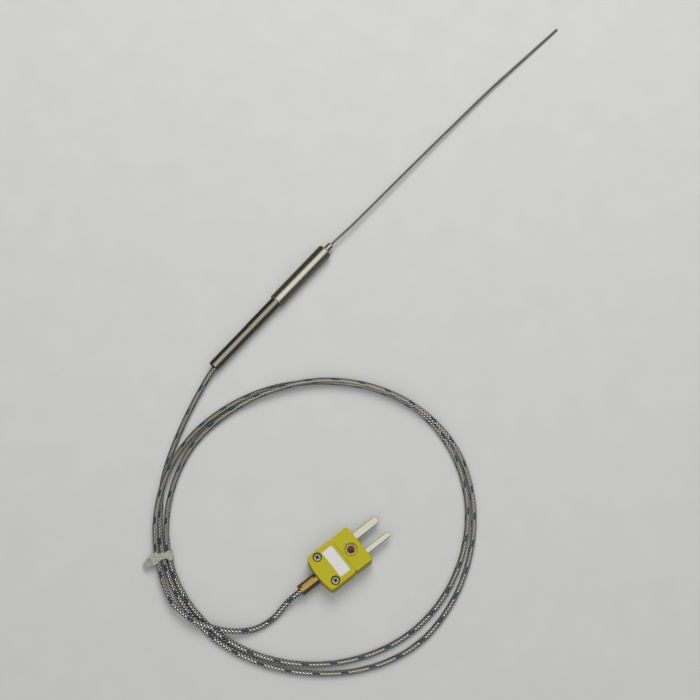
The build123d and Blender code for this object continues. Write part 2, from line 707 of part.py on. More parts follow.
def crimp_barrel():
    """Flanged inner tube that the braid is crimped on."""
    flange_front = PLUG_WALL + BARREL_FLANGE
    rear = -PLUG_BULGE - CRIMP_LENGTH + CRIMP_COLLAR
    body = along_plug(rear, flange_front, BARREL_D)
    body += along_plug(PLUG_WALL, flange_front, BARREL_FLANGE_D)
    return body - along_plug(rear - 1, flange_front + 1, LEAD_D + 2 * SLIP_FIT)


def crimp_sleeve():
    """Outer sleeve, pressed to a hexagon over the barrel and down on the braid behind."""
    front = -PLUG_BULGE - 0.1
    rear = front - CRIMP_LENGTH
    middle = (front + rear) / 2
    body = along_plug(rear, front, CRIMP_D)
    body = chamfer(body.edges().filter_by(GeomType.CIRCLE), 0.2)
    flats = RegularPolygon(CRIMP_FLATS / 2, 6, major_radius=False)
    hexagon = Pos(middle, 0, MID) * (Plane.YZ * extrude(flats, CRIMP_HEX / 2, both=True))
    ends = along_plug(rear - 1, middle - CRIMP_HEX / 2, CRIMP_D + 1)
    ends += along_plug(middle + CRIMP_HEX / 2, front + 1, CRIMP_D + 1)
    body = body & (hexagon + ends)
    body -= along_plug(rear + CRIMP_COLLAR - 0.1, front + 1, BARREL_D + 2 * SLIP_FIT)
    return body - along_plug(rear - 1, front + 1, LEAD_D + 2 * SLIP_FIT)


# ---- assembly -----------------------------------------------------------------------

def make_parts():
    """Every separate piece of the thermocouple, by the name of its node."""
    parts = {}
    wires = element_wires()
    bead = junction_bead(wires)
    parts["sheath_tube"] = sheath_tube()
    parts["sheath_tip"] = sheath_tip()
    parts["element_wire_positive"] = wires[1]
    parts["element_wire_negative"] = wires[0]
    parts["hot_junction_bead"] = bead
    parts["insulating_powder"] = powder_core(wires, bead)
    parts["nose_ferrule"] = nose_ferrule()
    parts["pot_sleeve"] = pot_sleeve()
    parts["crimp_tube"] = crimp_tube()
    parts["rear_seal"] = rear_seal()
    inner = list(wires)
    for name, side in PIN_SIDES.items():
        parts["splice_ferrule_" + name] = splice(side)
        parts["pot_core_" + name] = pot_core(side)
        parts["pot_sleeving_" + name] = pot_sleeving(side)
        inner += [splice(side), pot_core(side), pot_sleeving(side)]
    parts["potting_compound"] = potting(inner)
    parts.update(lead_tails())
    parts["lead_coil"] = lead_coil()
    parts["coil_tie"] = coil_tie()
    parts["plug_base"] = on_plug(plug_base())
    parts["plug_lid"] = on_plug(plug_lid())
    parts["label_insert"] = on_plug(label_insert())
    parts["eyelet"] = on_plug(eyelet())
    parts["cover_screw_left"] = on_plug(cover_screw(1))
    parts["cover_screw_right"] = on_plug(cover_screw(-1))
    for name in PIN_SIDES:
        parts["contact_blade_" + name] = on_plug(contact_blade(name))
        parts["clamp_washer_" + name] = on_plug(clamp_washer(name))
        parts["terminal_screw_" + name] = on_plug(terminal_screw(name))
        parts["plug_core_" + name] = on_plug(plug_core(name))
        parts["plug_sleeving_" + name] = on_plug(plug_sleeving(name))
    parts["crimp_barrel"] = on_plug(crimp_barrel())
    parts["crimp_sleeve"] = on_plug(crimp_sleeve())
    return parts


os.makedirs("parts", exist_ok=True)
PARTS = make_parts()
for node, shape in PARTS.items():
    export_step(shape, f"parts/{node}.step")
print(len(PARTS), "nodes written")
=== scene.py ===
# %% [markdown]
# # A mineral insulated thermocouple on a bench
# The object is a thin metal sheath with the hot junction at its tip, a steel pot seal, about a
# metre of steel braided lead in a loose tied coil, and a small yellow plug with two flat pins.
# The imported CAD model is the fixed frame: this script dresses it, and makes the pieces that
# CAD only blocks in, which are the braided lead and the plastic tie.
# Everything is in metres, +X along the pot seal towards the tip and +Z up.

# %% Load the fixed frame
from math import atan2, cos, degrees, pi, radians, sin

import bmesh
import bpy
from mathutils import Matrix, Vector, noise


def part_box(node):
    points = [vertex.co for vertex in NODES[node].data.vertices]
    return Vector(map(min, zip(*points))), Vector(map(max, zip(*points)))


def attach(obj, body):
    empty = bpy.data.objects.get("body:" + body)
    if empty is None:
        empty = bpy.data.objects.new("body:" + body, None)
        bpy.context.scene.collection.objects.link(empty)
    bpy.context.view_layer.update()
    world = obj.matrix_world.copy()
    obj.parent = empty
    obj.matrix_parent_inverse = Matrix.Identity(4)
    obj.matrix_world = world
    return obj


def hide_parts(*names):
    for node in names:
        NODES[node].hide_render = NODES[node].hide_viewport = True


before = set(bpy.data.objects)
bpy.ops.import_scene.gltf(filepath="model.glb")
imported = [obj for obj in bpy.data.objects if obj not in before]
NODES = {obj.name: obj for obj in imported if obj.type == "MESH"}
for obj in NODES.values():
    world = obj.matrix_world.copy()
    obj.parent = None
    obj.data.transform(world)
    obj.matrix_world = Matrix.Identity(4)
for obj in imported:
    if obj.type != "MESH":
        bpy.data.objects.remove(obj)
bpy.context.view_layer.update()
MM = 0.001

# %% [markdown]
# ## Places taken from the frame
# The bench's height is the underside of the plug, and the lead leaves the crimp tube at the
# tube's rear end, so both come from the CAD nodes. The plug lies at an angle on the bench,
# which the straight line between its two cover screws gives.

# %% Places that other cells share
def middle(node):
    """Middle of a CAD node's box."""
    low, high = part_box(node)
    return (low + high) / 2


BENCH_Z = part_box("plug_base")[0].z
TUBE_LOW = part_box("crimp_tube")[0]
ACROSS = middle("cover_screw_left") - middle("cover_screw_right")
PLUG_TURN = atan2(-ACROSS.x, ACROSS.y)
print("bench", round(BENCH_Z / MM, 2), "mm, plug turned", round(degrees(PLUG_TURN), 2), "degrees")

# %% [markdown]
# ## The camera
# The object is looked at from almost straight above, as a person does who has put it on a
# table: the camera leans back 18.5 degrees from the vertical, 0.7 m away, with the probe
# running up to the right. A camera is placed from what it looks at, how far away it is, how
# far it leans and which way the view is turned, because each of these can be judged by eye.

# %% Camera
LOOK_AT = Vector((-10.4 * MM, -38.0 * MM, BENCH_Z))
CAMERA_AWAY = 0.700
CAMERA_LEAN = radians(18.5)
PROBE_SLOPE = radians(48.35)     # how steeply +X runs up the view
FIELD_OF_VIEW = radians(24.37)

view_right = Vector((cos(PROBE_SLOPE), -sin(PROBE_SLOPE), 0))
view_up = Vector((sin(PROBE_SLOPE), cos(PROBE_SLOPE), 0))
camera_data = bpy.data.cameras.new("bench camera")
camera_data.sensor_width = 36.0
camera_data.angle = FIELD_OF_VIEW
camera = bpy.data.objects.new("bench camera", camera_data)
bpy.context.scene.collection.objects.link(camera)
away = Vector((0, 0, cos(CAMERA_LEAN))) - view_up * sin(CAMERA_LEAN)
camera.location = LOOK_AT + away * CAMERA_AWAY
up = (view_up - away * view_up.dot(away)).normalized()
turn = [[view_right[i], up[i], away[i]] for i in range(3)]
camera.rotation_mode = "QUATERNION"
camera.rotation_quaternion = Matrix(turn).to_quaternion()
bpy.context.scene.camera = camera
print("camera at", [round(c, 3) for c in camera.location])

# %% [markdown]
# ## Two helpers for materials
# A colour is written as the sRGB hex value that an artist would pick, and one function turns
# it into the linear value that the shader wants. One more function adds a node with its
# settings and links, for materials and for Geometry Nodes alike.

# %% Colours and nodes
def linear(hex_colour):
    """Linear RGBA of an sRGB hex colour."""
    channels = [int(hex_colour[i:i + 2], 16) / 255 for i in (1, 3, 5)]
    return [c / 12.92 if c <= 0.04045 else ((c + 0.055) / 1.055) ** 2.4 for c in channels] + [1.0]


def add(tree, kind, inputs=None, **settings):
    """Adds a node; an input is given a value, or is linked to another node's output."""
    made = tree.nodes.new(kind)
    for name, value in settings.items():
        setattr(made, name, value)
    for key, value in (inputs or {}).items():
        if isinstance(value, bpy.types.NodeSocket):
            tree.links.new(value, made.inputs[key])
        else:
            made.inputs[key].default_value = value
    return made


def new_material(name, constants):
    """Material with a Principled shader, its constants set on the shader's own sockets."""
    material = bpy.data.materials.new(name)
    material.use_nodes = True
    shader = material.node_tree.nodes["Principled BSDF"]
    for key, value in constants.items():
        shader.inputs[key].default_value = value
    return material, shader


print("middle grey in linear light is", [round(c, 3) for c in linear("#808080")])

# %% [markdown]
# ## Grain, shared by most finishes
# Nearly every surface here has a fine grain with a direction: lathe rings go round a turned
# part, draw lines run along a drawn wire, and moulded plastic has grain with no direction.
# Noise on stretched Object coordinates gives all three, and what differs is only the size of
# the grain along each axis. It feeds a small bump, a little of the roughness, and a faint
# change of colour, because a real finish is never quite even.

# %% The grain
GRAIN_SPREAD = (0.3, 0.7)        # nearly all of the noise lies between these values


def grain(material, shader, size_mm, colours, rough, bump_mm, turned=0.0):
    """Noise of a size along x, y and z that sets roughness, a bump and, if given, colours."""
    tree = material.node_tree
    place = add(tree, "ShaderNodeTexCoord")
    fit = add(tree, "ShaderNodeMapping", {
        "Vector": place.outputs["Object"],
        "Rotation": (0.0, 0.0, turned),
        "Scale": [1.0 / (size * MM) for size in size_mm],
    }, vector_type="POINT")
    fine = add(tree, "ShaderNodeTexNoise", {
        "Vector": fit.outputs[0], "Scale": 1.0, "Detail": 3.0, "Roughness": 0.6})
    if colours:
        tint = add(tree, "ShaderNodeValToRGB", {"Fac": fine.outputs["Fac"]})
        for element, position, colour in zip(tint.color_ramp.elements, GRAIN_SPREAD, colours):
            element.position = position
            element.color = linear(colour)
        tree.links.new(tint.outputs["Color"], shader.inputs["Base Color"])
    spread = add(tree, "ShaderNodeMapRange", {
        "Value": fine.outputs["Fac"], "From Min": GRAIN_SPREAD[0], "From Max": GRAIN_SPREAD[1],
        "To Min": rough[0], "To Max": rough[1]})
    tree.links.new(spread.outputs["Result"], shader.inputs["Roughness"])
    bump = add(tree, "ShaderNodeBump", {
        "Height": fine.outputs["Fac"], "Strength": 1.0, "Distance": bump_mm * MM})
    tree.links.new(bump.outputs["Normal"], shader.inputs["Normal"])


print("grain ready")

# %% [markdown]
# ## Metals
# Each metal starts from how it was made. The pot seal and its nose are turned on a lathe, so
# their grain is rings across X. The crimp tube and the sheath are drawn, so theirs runs along
# X. Stainless steel looks warm and mid grey, and it is the dark room round it that makes its
# flanks nearly black. Brass is a copper alloy with zinc, yellow where it is clean and brown
# where it has dulled. A metal keeps the default IOR: its colour does the work.

# %% Metal finishes
def metal(name, size_mm, colours, rough, bump_mm, turned=0.0):
    material, shader = new_material(name, {"Metallic": 1.0})
    grain(material, shader, size_mm, colours, rough, bump_mm, turned)
    return material


turned_steel = metal(
    "Turned stainless steel", (0.5, 6, 6), ("#C0BDB2", "#D0CDC2"), (0.20, 0.28), 0.0008)
drawn_steel = metal(
    "Drawn stainless tube", (9, 0.3, 0.3), ("#8C887B", "#A29E91"), (0.20, 0.30), 0.002)
sheath_alloy = metal(
    "Drawn nickel alloy sheath", (7, 0.15, 0.15), ("#85857F", "#A3A39C"), (0.36, 0.50), 0.003)
element_alloy = metal(
    "Drawn thermocouple wire", (3, 0.06, 0.06), ("#8E8A80", "#A7A297"), (0.3, 0.4), 0.002)
brass = metal(
    "Turned brass, dulled", (1.2, 1.2, 0.25), ("#A68A50", "#C4A66C"), (0.22, 0.36), 0.003)
rolled_brass = metal(
    "Crimped brass", (1.6, 0.4, 0.4), ("#9A7F48", "#B79E68"), (0.24, 0.40), 0.006, -PLUG_TURN)
pin_alloy = metal(
    "Rolled pin alloy", (2.2, 0.2, 0.4), ("#CFC8B5", "#E0DACA"), (0.30, 0.42), 0.003, -PLUG_TURN)
PLATED = ((0.5, 0.5, 0.2), ("#8E8C84", "#B4B2AA"), (0.16, 0.26), 0.003)
plated_steel = metal("Nickel plated steel", *PLATED)
print(len(bpy.data.materials), "materials so far")

# %% [markdown]
# ## Screw heads
# A cross recess is a deep narrow hole that sees little light, so it reads as dark while the head's
# face
# is bright. That shade is painted: height alone tells the two apart, and below the head's top the
# colour goes dark over a quarter of a millimetre. Object coordinates give the height, and they
# travel with the screw when it turns or lifts.

# %% Screw finishes
FACE_DEPTH = 0.08 * MM           # above this, measured down from the top, the head has its plated colour
RECESS_SHADE_DEPTH = 0.35 * MM          # below this the painted shade of the recess is full


def screw_steel(name, top):
    """Plated steel for a screw whose head ends at a height; its recess below that gets painted
    shade.
    """
    material, shader = new_material(name, {"Metallic": 1.0})
    grain(material, shader, *PLATED)
    tree = material.node_tree
    plated_colour = shader.inputs["Base Color"].links[0].from_socket
    place = add(tree, "ShaderNodeTexCoord")
    height = add(tree, "ShaderNodeSeparateXYZ", {0: place.outputs["Object"]}).outputs["Z"]
    outside_recess_shade = add(tree, "ShaderNodeMapRange", {
        "Value": height, "From Min": top - RECESS_SHADE_DEPTH, "From Max": top - FACE_DEPTH})
    # painted shade: below the head's face the colour goes to the near black #1E1B17 of a shaded
    # recess
    recess_shaded = add(tree, "ShaderNodeMix", {
        0: outside_recess_shade.outputs["Result"], 6: linear("#1E1B17"), 7: plated_colour}, data_type="RGBA")
    tree.links.new(recess_shaded.outputs[2], shader.inputs["Base Color"])
    return material


cover_screw_steel = screw_steel("Plated cover screw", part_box("cover_screw_left")[1].z)
terminal_screw_steel = screw_steel("Plated terminal screw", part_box("terminal_screw_positive")[1].z)
print(len(bpy.data.materials), "materials so far")

# %% [markdown]
# ## Plastics, glass and powder
# The plug is moulded in glass filled nylon. The mould was spark eroded, which leaves a fine
# even grain that spreads the highlight, and the pigment is a yellow green. The writing panel
# is a smoother white plastic. Inside are a dark filled resin, white glass sleeving and the
# pressed oxide powder that keeps the two wires apart in the sheath: all of them matte.

# %% Other finishes
def matte(name, size_mm, colours, rough, bump_mm, constants=None):
    material, shader = new_material(name, constants or {})
    grain(material, shader, size_mm, colours, rough, bump_mm)
    return material


nylon = matte(
    "Moulded glass filled nylon", (0.3, 0.3, 0.3), ("#A39B14", "#B0A91E"), (0.42, 0.55), 0.012,
    {"IOR": 1.53, "Specular IOR Level": 0.25, "Subsurface Weight": 0.08,
     "Subsurface Radius": (0.9, 0.8, 0.2), "Subsurface Scale": MM})
panel_white = matte(
    "White panel plastic", (0.6, 0.6, 0.6), ("#C4C4C3", "#CCCCCB"), (0.35, 0.45), 0.003,
    {"IOR": 1.5})
resin = matte(
    "Cured filled resin", (0.4, 0.4, 0.4), ("#2B2724", "#3A3531"), (0.5, 0.7), 0.01)
packing = matte(
    "Packed glass fibre", (0.12, 0.4, 0.4), ("#4A4741", "#6E6A61"), (0.8, 0.95), 0.03)
sleeving = matte(
    "Woven glass sleeving", (0.18, 0.18, 0.18), ("#D6D5CB", "#ECEBE3"), (0.6, 0.8), 0.02)
oxide = matte(
    "Pressed oxide powder", (0.1, 0.1, 0.1), ("#DBDBD7", "#F0F0ED"), (0.85, 0.98), 0.01)
print(len(bpy.data.materials), "materials so far")

# %% [markdown]
# ## Dressing the CAD nodes
# The turned, moulded and pressed pieces have their true shape in CAD, so they only need a
# finish and smooth shading. A CAD mesh is loose triangles, so a Weld modifier joins them
# first, Edge Split keeps the real edges sharp, and Weighted Normal keeps the flat faces flat
# beside their rounded edges. The node's own mesh isn't touched.

# %% Finish of each CAD node
FINISHES = {
    "sheath_tube": sheath_alloy, "sheath_tip": sheath_alloy, "hot_junction_bead": element_alloy,
    "insulating_powder": oxide, "nose_ferrule": turned_steel, "pot_sleeve": turned_steel,
    "crimp_tube": drawn_steel, "rear_seal": packing, "potting_compound": resin,
    "plug_base": nylon, "plug_lid": nylon, "label_insert": panel_white, "eyelet": brass,
    "cover_screw_left": cover_screw_steel, "cover_screw_right": cover_screw_steel,
    "crimp_barrel": brass, "crimp_sleeve": rolled_brass,
}
PAIRED_FINISHES = {
    "element_wire": element_alloy, "splice_ferrule": brass, "pot_core": element_alloy,
    "pot_sleeving": sleeving, "contact_blade": pin_alloy, "clamp_washer": plated_steel,
    "terminal_screw": terminal_screw_steel, "plug_core": element_alloy, "plug_sleeving": sleeving,
}
for stem, material in PAIRED_FINISHES.items():
    for wire in ("positive", "negative"):
        FINISHES[stem + "_" + wire] = material
SHARP = radians(32)
WELD_GAP = 0.0005 * MM

for node, material in FINISHES.items():
    piece = NODES[node]
    piece.data.materials.clear()
    piece.data.materials.append(material)
    piece.data.polygons.foreach_set("use_smooth", [True] * len(piece.data.polygons))
    weld = piece.modifiers.new("join the loose triangles", "WELD")
    weld.merge_threshold = WELD_GAP
    split = piece.modifiers.new("keep the real edges", "EDGE_SPLIT")
    split.split_angle = SHARP
    piece.modifiers.new("keep flats flat", "WEIGHTED_NORMAL")
print(len(FINISHES), "nodes dressed, replaced later:", sorted(set(NODES) - set(FINISHES)))

# %% [markdown]
# ## The lead's route
# A cord is a fixed length of something springy. Its line is one NURBS spline whose control
# points are the same route that its CAD solids follow: out of the crimp tube, down to the
# bench, a little over two turns of the loose coil, and up into the plug. The coil's turns are
# a loop over the strand's distance from the coil's centre, one value every 20 degrees, because
# loose turns are never true circles. A spline of order 3 passes inside its control points, so
# the coil's points stand out by the cosine of half a step.

# %% The coil's turns
LEAD_D = 2.4 * MM
LEAD_REST = BENCH_Z + LEAD_D / 2
COIL_CENTRE = Vector((-75.6 * MM, -78.0 * MM, 0))
COIL_START = 120.0
COIL_STEP = 20.0
COIL_RADII_MM = [
    66.1, 65.5, 65.4, 64.4, 63.1, 62.7, 64.2, 65.8, 64.8, 64.6, 65.4, 66.3,
    64.2, 62.1, 60.5, 59.2, 60.0, 62.1,
    62.5, 63.2, 63.1, 62.0, 60.3, 59.3, 59.2, 60.2, 60.8, 61.6, 63.0, 63.9,
    64.1, 61.9, 60.2, 60.9, 62.5, 65.0,
    66.5, 67.8, 68.4,
]
HUMPS = [(360.0, 425.0), (830.0, 848.0), (884.0, 905.0)]
HUMP_RAMP = 22.0
TIE_ANGLE = 145.0
TIE_LIFT = 0.35 * MM


def hump_height(angle):
    """How far the strand is lifted at an angle, where it rides over a lower one."""
    height = 0.0
    for first, last in HUMPS:
        outside = max(first - angle, angle - last, 0.0)
        if outside < HUMP_RAMP:
            height = max(height, 0.5 + 0.5 * cos(pi * outside / HUMP_RAMP))
    at_tie = abs(angle % 360.0 - TIE_ANGLE) < COIL_STEP
    return max(height * LEAD_D, TIE_LIFT if at_tie else 0.0)


def coil_points():
    """Control points of the coil's turns."""
    points = []
    for i, radius in enumerate(COIL_RADII_MM):
        angle = COIL_START + i * COIL_STEP
        out = radius * MM / cos(radians(COIL_STEP / 2))
        points.append(COIL_CENTRE + Vector((
            out * cos(radians(angle)), out * sin(radians(angle)), LEAD_REST + hump_height(angle))))
    return points


print(len(COIL_RADII_MM), "points on the coil")

# %% [markdown]
# ## The route's two ends
# Outside the coil the lead lies as it was bent by hand, so no rule gives its line and its
# points are a list. One end comes out of the crimp tube on its axis and comes down to the
# bench. The other crosses on top of a strand, comes down, and rises into the plug's middle.

# %% The two ends, point by point
PLUG_MID_Z = BENCH_Z + 4.0 * MM
FROM_TUBE = [
    (TUBE_LOW.x + 9.0 * MM, 0.0, 0.0),
    (TUBE_LOW.x - 0.9 * MM, -0.45 * MM, -0.25 * MM),
    (-69.2 * MM, -3.3 * MM, -1.4 * MM),
    (-79.8 * MM, -6.4 * MM, LEAD_REST),
    (-90.9 * MM, -10.5 * MM, LEAD_REST),
    (-100.9 * MM, -15.0 * MM, LEAD_REST),
]
INTO_PLUG = [
    (-141.3 * MM, -62.6 * MM, LEAD_REST + LEAD_D),
    (-140.4 * MM, -69.4 * MM, LEAD_REST + LEAD_D),
    (-137.6 * MM, -75.6 * MM, LEAD_REST + LEAD_D),
    (-134.4 * MM, -81.4 * MM, LEAD_REST + 2.0 * MM),
    (-130.0 * MM, -86.4 * MM, LEAD_REST + 1.0 * MM),
    (-124.6 * MM, -90.1 * MM, LEAD_REST + 0.1 * MM),
    (-117.6 * MM, -92.0 * MM, LEAD_REST),
    (-110.8 * MM, -91.7 * MM, LEAD_REST + 1.4 * MM),
    (-105.0 * MM, -92.3 * MM, PLUG_MID_Z),
    (-91.124 * MM, -94.778 * MM, PLUG_MID_Z),
]
route_points = [Vector(p) for p in FROM_TUBE] + coil_points() + [Vector(p) for p in INTO_PLUG]
print(len(route_points), "control points")

# %% [markdown]
# ## The lead's core
# Under the wire braid is a round bundle of two glass covered wires. It shows only as the dark
# ground between the braid's wires, so a plain round bevel on the route's curve is enough, in
# a dark brown glass fibre finish. The same curve without its bevel gives the braid its path.

# %% One curve for the lead
def nurbs(name, points):
    """Curve object with one open NURBS spline of order 3 through the route."""
    data = bpy.data.curves.new(name, "CURVE")
    data.dimensions = "3D"
    data.resolution_u = 24
    spline = data.splines.new("NURBS")
    spline.points.add(len(points) - 1)
    for control, point in zip(spline.points, points):
        control.co = (*point, 1.0)
    spline.order_u = 3
    spline.use_endpoint_u = True
    made = bpy.data.objects.new(name, data)
    bpy.context.scene.collection.objects.link(made)
    return made


lead = nurbs("lead", route_points)
bpy.context.view_layer.update()
path_mesh = bpy.data.meshes.new_from_object(lead)

# %% [markdown]
# ## The wire braid
# The braid is sixteen flat carriers of three fine wires each, eight wound each way, and every
# carrier goes over two and under two of the others. It could be a bump pattern on a tube, but
# then its edge would be a plain line, and the blue tracer would be paint. Geometry Nodes make
# it as it is made: a carrier's place round the lead turns with the distance along it, its
# distance from the axis rises and falls with the crossings, and a small section is swept
# along it. One tree makes every carrier, and named inputs say which carriers and which hand.

# %% The braid's tree
def braid_tree():
    """Geometry Nodes tree that winds some of a braid's carriers round a path."""
    tree = bpy.data.node_groups.new("Wire braid", "GeometryNodeTree")
    sockets = tree.interface
    sockets.new_socket("Braid", in_out="OUTPUT", socket_type="NodeSocketGeometry")
    sockets.new_socket("Path", in_out="INPUT", socket_type="NodeSocketGeometry")
    for name, kind in (
        ("Section", "Object"), ("Radius", "Float"), ("Weave height", "Float"), ("Lay", "Float"),
        ("Steps in a turn", "Int"), ("Carriers each way", "Int"), ("First carrier", "Int"),
        ("Carriers here", "Int"), ("Hand", "Float"), ("Finish", "Material"),
    ):
        sockets.new_socket(name, in_out="INPUT", socket_type="NodeSocket" + kind)
    given = add(tree, "NodeGroupInput").outputs

    # the path, cut into equal steps, once for each carrier
    line = add(tree, "GeometryNodeMeshToCurve", {"Mesh": given["Path"]})
    step = add(tree, "ShaderNodeMath", {
        0: given["Lay"], 1: given["Steps in a turn"]}, operation="DIVIDE")
    even = add(tree, "GeometryNodeResampleCurve", {
        "Curve": line.outputs[0], "Length": step.outputs[0]}, mode="LENGTH")
    level = add(tree, "GeometryNodeSetCurveNormal", {"Curve": even.outputs[0]}, mode="Z_UP")
    copies = add(tree, "GeometryNodeDuplicateElements", {
        "Geometry": level.outputs[0], "Amount": given["Carriers here"]}, domain="SPLINE")
    # each row names a value and how it is made from two of the values above it or numbers
    along = add(tree, "GeometryNodeSplineParameter").outputs["Length"]
    value = {name: given[name] for name in (
        "Lay", "First carrier", "Hand", "Carriers each way", "Radius", "Weave height")}
    value.update({"along": along, "copy": copies.outputs["Duplicate Index"]})
    for name, a, operation, b in (
        # how far round the lead a carrier is: turns along it, plus its own share of a turn
        ("number", "copy", "ADD", "First carrier"),
        ("lays", "along", "DIVIDE", "Lay"),
        ("laid", "lays", "MULTIPLY", "Hand"),
        ("share", "number", "DIVIDE", "Carriers each way"),
        ("turns", "laid", "ADD", "share"),
        ("angle", "turns", "MULTIPLY", 2 * pi),
        ("cosine", "angle", "COSINE", 0.0),
        ("sine", "angle", "SINE", 0.0),
        # over two and under two: the crossings met so far, in quarter waves
        ("carriers met", "laid", "MULTIPLY", "Carriers each way"),
        ("crossings", "carriers met", "MULTIPLY", 2.0),
        ("start", "number", "MULTIPLY", 2.0),
        ("place", "start", "ADD", "crossings"),
        ("shifted", "place", "SUBTRACT", 0.5),
        ("quarters", "shifted", "MULTIPLY", pi / 2),
        ("swing", "quarters", "COSINE", 0.0),
        ("wave", "swing", "MULTIPLY", "Hand"),
        ("rise", "wave", "MULTIPLY", "Weave height"),
        ("reach", "Radius", "ADD", "rise"),
    ):
        value[name] = add(tree, "ShaderNodeMath", {
            0: value.get(a, a), 1: value.get(b, b)}, operation=operation).outputs[0]
    # outward direction at that angle, from the path's own normal and its partner
    side = add(tree, "GeometryNodeInputNormal").outputs[0]
    tangent = add(tree, "GeometryNodeInputTangent").outputs[0]
    over = add(tree, "ShaderNodeVectorMath", {
        0: tangent, 1: side}, operation="CROSS_PRODUCT").outputs[0]
    first = add(tree, "ShaderNodeVectorMath", {
        0: side, "Scale": value["cosine"]}, operation="SCALE").outputs[0]
    second = add(tree, "ShaderNodeVectorMath", {
        0: over, "Scale": value["sine"]}, operation="SCALE").outputs[0]
    outward = add(tree, "ShaderNodeVectorMath", {
        0: first, 1: second}, operation="ADD").outputs[0]
    kept = add(tree, "GeometryNodeStoreNamedAttribute", {
        "Geometry": copies.outputs[0], "Name": "outward", "Value": outward,
    }, data_type="FLOAT_VECTOR", domain="POINT")
    crested = add(tree, "GeometryNodeStoreNamedAttribute", {
        "Geometry": kept.outputs[0], "Name": "crest", "Value": value["wave"],
    }, data_type="FLOAT", domain="POINT")
    offset = add(tree, "ShaderNodeVectorMath", {
        0: outward, "Scale": value["reach"]}, operation="SCALE").outputs[0]
    wound = add(tree, "GeometryNodeSetPosition", {"Geometry": crested.outputs[0], "Offset": offset})
    # the section is swept along the carrier, flat side out
    facing = add(tree, "GeometryNodeInputNamedAttribute", {
        "Name": "outward"}, data_type="FLOAT_VECTOR")
    faced = add(tree, "GeometryNodeSetCurveNormal", {
        "Curve": wound.outputs[0], "Normal": facing.outputs[0]}, mode="FREE")
    section = add(tree, "GeometryNodeObjectInfo", {"Object": given["Section"]})
    outline = add(tree, "GeometryNodeMeshToCurve", {"Mesh": section.outputs["Geometry"]})
    swept = add(tree, "GeometryNodeCurveToMesh", {
        "Curve": faced.outputs[0], "Profile Curve": outline.outputs[0], "Fill Caps": True})
    smooth = add(tree, "GeometryNodeSetShadeSmooth", {"Geometry": swept.outputs[0]})
    whole = add(tree, "GeometryNodeRealizeInstances", {"Geometry": smooth.outputs[0]})
    finished = add(tree, "GeometryNodeSetMaterial", {
        "Geometry": whole.outputs[0], "Material": given["Finish"]})
    add(tree, "NodeGroupOutput", {"Braid": finished.outputs[0]})
    return tree


BRAID = braid_tree()
print(len(BRAID.nodes), "nodes in the braid's tree")

# %% [markdown]
# ## The section of one carrier
# Three wires lie side by side in a carrier. Their section is one closed outline with three
# ridges, so a carrier stays a single solid and the ridges catch the light as wires do.

# %% Section of a carrier
WIRES = 3
WIRE_D = 0.16 * MM
CARRIER_W = WIRES * WIRE_D
VALLEY = 0.15 * WIRE_D           # height of the valleys between the wires


def carrier_section():
    """Closed outline: x is outward, y is across the carrier."""
    outline = [(-WIRE_D / 2, -CARRIER_W / 2)]
    for i in range(1, 2 * WIRES):
        outline.append((WIRE_D / 2 if i % 2 else VALLEY, -CARRIER_W / 2 + i * WIRE_D / 2))
    outline.append((-WIRE_D / 2, CARRIER_W / 2))
    mesh = bpy.data.meshes.new("carrier section")
    count = len(outline)
    edges = [(i, (i + 1) % count) for i in range(count)]
    mesh.from_pydata([(x, y, 0.0) for x, y in outline], edges, [])
    made = bpy.data.objects.new("carrier section", mesh)
    bpy.context.scene.collection.objects.link(made)
    return made


section = carrier_section()
print("carrier", round(CARRIER_W / MM, 2), "mm wide")

# %% [markdown]
# ## Finishes of the braid
# The wires are hard drawn stainless steel. Where a carrier comes up over the others it is
# rubbed bright, and where it dives under them its colour is darkened: this is painted shade of
# the weave's hollows, with a little tarnish, and it gives a braid its rows of bright dots. The tree
# stores how high each point of a carrier stands, and the finish reads that attribute for its
# colour. The tracer is blue glass yarn, which tells which pair of metals is inside: it has no
# metal shine, and its hollows get the same painted shade.

# %% Braid, tracer and core finishes
SHADE_AND_WEAR_SPAN = (0.2, 0.85)          # from low in the weave to nearly at a crest


def colour_by_weave_shade_and_wear(material, shader, dull, bright):
    """Base colour that goes from painted shade to bright as a carrier rises over the others."""
    tree = material.node_tree
    # painted shade: the colour darkens where a carrier dives under the others
    crest = add(tree, "ShaderNodeAttribute", attribute_name="crest")
    shade_and_wear_ramp = add(tree, "ShaderNodeValToRGB", {"Fac": crest.outputs["Fac"]})
    for element, position, colour in zip(shade_and_wear_ramp.color_ramp.elements, SHADE_AND_WEAR_SPAN, (dull, bright)):
        element.position = position
        element.color = linear(colour)
    tree.links.new(shade_and_wear_ramp.outputs["Color"], shader.inputs["Base Color"])


braid_steel, braid_shader = new_material("Stainless braid wire", {"Metallic": 1.0})
grain(braid_steel, braid_shader, (0.5, 0.5, 0.5), None, (0.26, 0.38), 0.002)
# the dark colour is painted shade of the weave's hollows, with a little tarnish
colour_by_weave_shade_and_wear(braid_steel, braid_shader, "#504D44", "#FDFAF0")
tracer_yarn, tracer_shader = new_material("Blue tracer yarn", {"Specular IOR Level": 0.3})
grain(tracer_yarn, tracer_shader, (0.1, 0.1, 0.1), None, (0.5, 0.7), 0.004)
# the dark blue is painted shade of the yarn's hollows
colour_by_weave_shade_and_wear(tracer_yarn, tracer_shader, "#101D2E", "#31547A")
core_glass = matte(
    "Lacquered glass fibre", (0.2, 0.2, 0.2), ("#26231F", "#37332D"), (0.5, 0.7), 0.01)
print("braid finishes ready")

